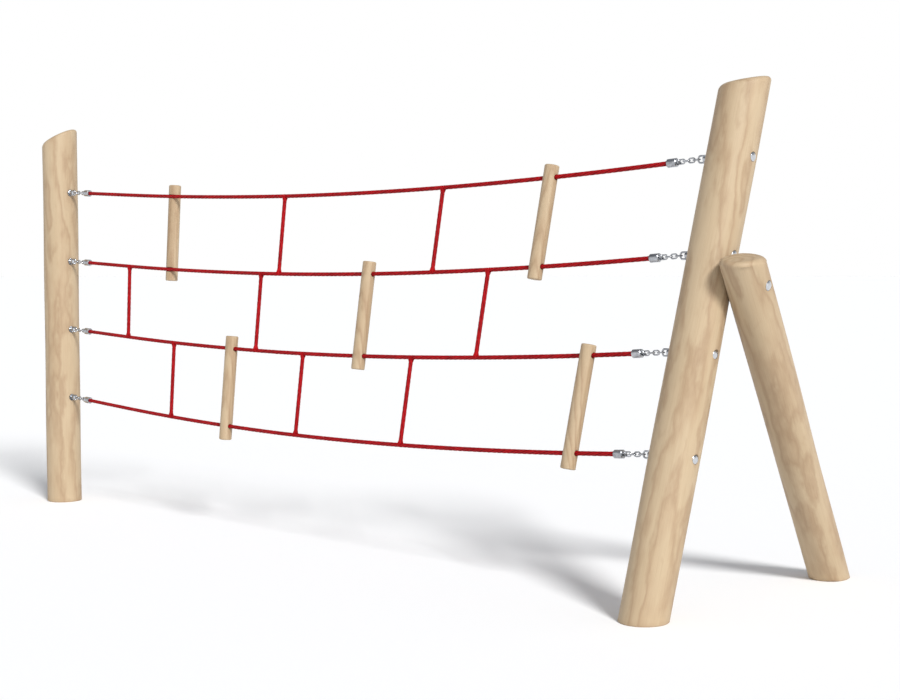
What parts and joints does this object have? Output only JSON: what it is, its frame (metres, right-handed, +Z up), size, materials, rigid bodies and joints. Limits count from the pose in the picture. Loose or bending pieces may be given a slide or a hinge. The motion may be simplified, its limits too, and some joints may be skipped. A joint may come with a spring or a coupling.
{
  "type": "cargo climbing net",
  "caption": "Playground climbing net of red ropes and drilled wooden rungs between an upright timber post and a leaning post with a brace.",
  "frame": {"origin": "centre of the left post's foot, on the ground", "axes": "+X along the ground to the main post's foot, +Y to the side that the main post leans towards, +Z up"},
  "size_m": [3.8568, 1.1741, 1.758],
  "materials": {
    "timber": "planed and rounded pine, satin oil",
    "rung_wood": "turned pine, satin oil",
    "red_rope": "laid strands of red fibre",
    "dome_bolt": "polished stainless steel",
    "zinc_steel": "zinc-coated steel"
  },
  "bodies": {
    "frame": {"left_post": "timber", "main_post": "timber", "brace": "timber", "brace_bolt": "dome_bolt", "brace_washer": "zinc_steel", "brace_nut": "zinc_steel", "left_post_bolts": "dome_bolt", "main_post_bolts": "dome_bolt", "rope_1_left_eye_nut": "zinc_steel", "rope_1_right_eye_nut": "zinc_steel", "rope_2_left_eye_nut": "zinc_steel", "rope_2_right_eye_nut": "zinc_steel", "rope_3_left_eye_nut": "zinc_steel", "rope_3_right_eye_nut": "zinc_steel", "rope_4_left_eye_nut": "zinc_steel", "rope_4_right_eye_nut": "zinc_steel"},
    "rope_1": {"rope_1": "red_rope", "rope_1_left_ferrule": "zinc_steel", "rope_1_left_chain": "zinc_steel", "rope_1_right_ferrule": "zinc_steel", "rope_1_right_chain": "zinc_steel"},
    "rope_2": {"rope_2": "red_rope", "rope_2_left_ferrule": "zinc_steel", "rope_2_left_chain": "zinc_steel", "rope_2_right_ferrule": "zinc_steel", "rope_2_right_chain": "zinc_steel"},
    "rope_3": {"rope_3": "red_rope", "rope_3_left_ferrule": "zinc_steel", "rope_3_left_chain": "zinc_steel", "rope_3_right_ferrule": "zinc_steel", "rope_3_right_chain": "zinc_steel"},
    "rope_4": {"rope_4": "red_rope", "rope_4_left_ferrule": "zinc_steel", "rope_4_left_chain": "zinc_steel", "rope_4_right_ferrule": "zinc_steel", "rope_4_right_chain": "zinc_steel"},
    "rung_row_1_left": {"rung_row_1_left": "rung_wood"},
    "tie_row_1_left": {"tie_row_1_left": "red_rope"},
    "tie_row_1_right": {"tie_row_1_right": "red_rope"},
    "rung_row_1_right": {"rung_row_1_right": "rung_wood"},
    "tie_row_2_left": {"tie_row_2_left": "red_rope"},
    "tie_row_2_middle": {"tie_row_2_middle": "red_rope"},
    "rung_row_2": {"rung_row_2": "rung_wood"},
    "tie_row_2_right": {"tie_row_2_right": "red_rope"},
    "tie_row_3_left": {"tie_row_3_left": "red_rope"},
    "rung_row_3_left": {"rung_row_3_left": "rung_wood"},
    "tie_row_3_middle": {"tie_row_3_middle": "red_rope"},
    "tie_row_3_right": {"tie_row_3_right": "red_rope"},
    "rung_row_3_right": {"rung_row_3_right": "rung_wood"}
  },
  "joints": [
    {"name": "rope_1_swing", "type": "hinge", "parent": "frame", "child": "rope_1", "pos_m": [0.11457, 0.00988, 1.46065], "axis": [0.9963, 0.0859, -0.0031], "range_deg": [-25, 25]},
    {"name": "rope_2_swing", "type": "hinge", "parent": "frame", "child": "rope_2", "pos_m": [0.11473, 0.00783, 1.13906], "axis": [0.9977, 0.0681, 0.0006], "range_deg": [-25, 25]},
    {"name": "rope_3_swing", "type": "hinge", "parent": "frame", "child": "rope_3", "pos_m": [0.11486, 0.00575, 0.81942], "axis": [0.9987, 0.05, 0.0037], "range_deg": [-25, 25]},
    {"name": "rope_4_swing", "type": "hinge", "parent": "frame", "child": "rope_4", "pos_m": [0.11495, 0.00353, 0.49833], "axis": [0.9995, 0.0307, 0.0028], "range_deg": [-25, 25]},
    {"name": "rung_row_1_left_turn", "type": "hinge", "parent": "rope_1", "child": "rung_row_1_left", "pos_m": [0.81715, 0.07044, 1.4202], "axis": [0.9963, 0.0859, -0.0031], "range_deg": [-25, 25]},
    {"name": "tie_row_1_left_turn", "type": "hinge", "parent": "rope_1", "child": "tie_row_1_left", "pos_m": [1.53651, 0.13245, 1.39709], "axis": [0.9963, 0.0859, -0.0031], "range_deg": [-25, 25]},
    {"name": "tie_row_1_right_turn", "type": "hinge", "parent": "rope_1", "child": "tie_row_1_right", "pos_m": [2.37976, 0.20515, 1.40054], "axis": [0.9963, 0.0859, -0.0031], "range_deg": [-25, 25]},
    {"name": "rung_row_1_right_turn", "type": "hinge", "parent": "rope_1", "child": "rung_row_1_right", "pos_m": [2.86836, 0.24727, 1.41708], "axis": [0.9963, 0.0859, -0.0031], "range_deg": [-25, 25]},
    {"name": "tie_row_2_left_turn", "type": "hinge", "parent": "rope_2", "child": "tie_row_2_left", "pos_m": [0.53374, 0.03641, 1.11543], "axis": [0.9977, 0.0681, 0.0006], "range_deg": [-25, 25]},
    {"name": "tie_row_2_middle_turn", "type": "hinge", "parent": "rope_2", "child": "tie_row_2_middle", "pos_m": [1.42162, 0.09699, 1.08338], "axis": [0.9977, 0.0681, 0.0006], "range_deg": [-25, 25]},
    {"name": "rung_row_2_turn", "type": "hinge", "parent": "rope_2", "child": "rung_row_2", "pos_m": [2.0368, 0.13896, 1.08174], "axis": [0.9977, 0.0681, 0.0006], "range_deg": [-25, 25]},
    {"name": "tie_row_2_right_turn", "type": "hinge", "parent": "rope_2", "child": "tie_row_2_right", "pos_m": [2.63535, 0.1798, 1.09685], "axis": [0.9977, 0.0681, 0.0006], "range_deg": [-25, 25]},
    {"name": "tie_row_3_left_turn", "type": "hinge", "parent": "rope_3", "child": "tie_row_3_left", "pos_m": [0.86844, 0.04346, 0.78134], "axis": [0.9987, 0.05, 0.0037], "range_deg": [-25, 25]},
    {"name": "rung_row_3_left_turn", "type": "hinge", "parent": "rope_3", "child": "rung_row_3_left", "pos_m": [1.25843, 0.06297, 0.76977], "axis": [0.9987, 0.05, 0.0037], "range_deg": [-25, 25]},
    {"name": "tie_row_3_middle_turn", "type": "hinge", "parent": "rope_3", "child": "tie_row_3_middle", "pos_m": [1.70457, 0.08529, 0.76463], "axis": [0.9987, 0.05, 0.0037], "range_deg": [-25, 25]},
    {"name": "tie_row_3_right_turn", "type": "hinge", "parent": "rope_3", "child": "tie_row_3_right", "pos_m": [2.30267, 0.11522, 0.77304], "axis": [0.9987, 0.05, 0.0037], "range_deg": [-25, 25]},
    {"name": "rung_row_3_right_turn", "type": "hinge", "parent": "rope_3", "child": "rung_row_3_right", "pos_m": [3.11546, 0.15589, 0.81032], "axis": [0.9987, 0.05, 0.0037], "range_deg": [-25, 25]}
  ],
  "couplings": [
    {"joint": "rope_2_swing", "follows": "rope_1_swing", "ratio": 1},
    {"joint": "rope_3_swing", "follows": "rope_1_swing", "ratio": 1},
    {"joint": "rope_4_swing", "follows": "rope_1_swing", "ratio": 1},
    {"joint": "rung_row_1_left_turn", "follows": "rope_1_swing", "ratio": -1},
    {"joint": "tie_row_1_left_turn", "follows": "rope_1_swing", "ratio": -1},
    {"joint": "tie_row_1_right_turn", "follows": "rope_1_swing", "ratio": -1},
    {"joint": "rung_row_1_right_turn", "follows": "rope_1_swing", "ratio": -1},
    {"joint": "tie_row_2_left_turn", "follows": "rope_1_swing", "ratio": -1},
    {"joint": "tie_row_2_middle_turn", "follows": "rope_1_swing", "ratio": -1},
    {"joint": "rung_row_2_turn", "follows": "rope_1_swing", "ratio": -1},
    {"joint": "tie_row_2_right_turn", "follows": "rope_1_swing", "ratio": -1},
    {"joint": "tie_row_3_left_turn", "follows": "rope_1_swing", "ratio": -1},
    {"joint": "rung_row_3_left_turn", "follows": "rope_1_swing", "ratio": -1},
    {"joint": "tie_row_3_middle_turn", "follows": "rope_1_swing", "ratio": -1},
    {"joint": "tie_row_3_right_turn", "follows": "rope_1_swing", "ratio": -1},
    {"joint": "rung_row_3_right_turn", "follows": "rope_1_swing", "ratio": -1}
  ]
}
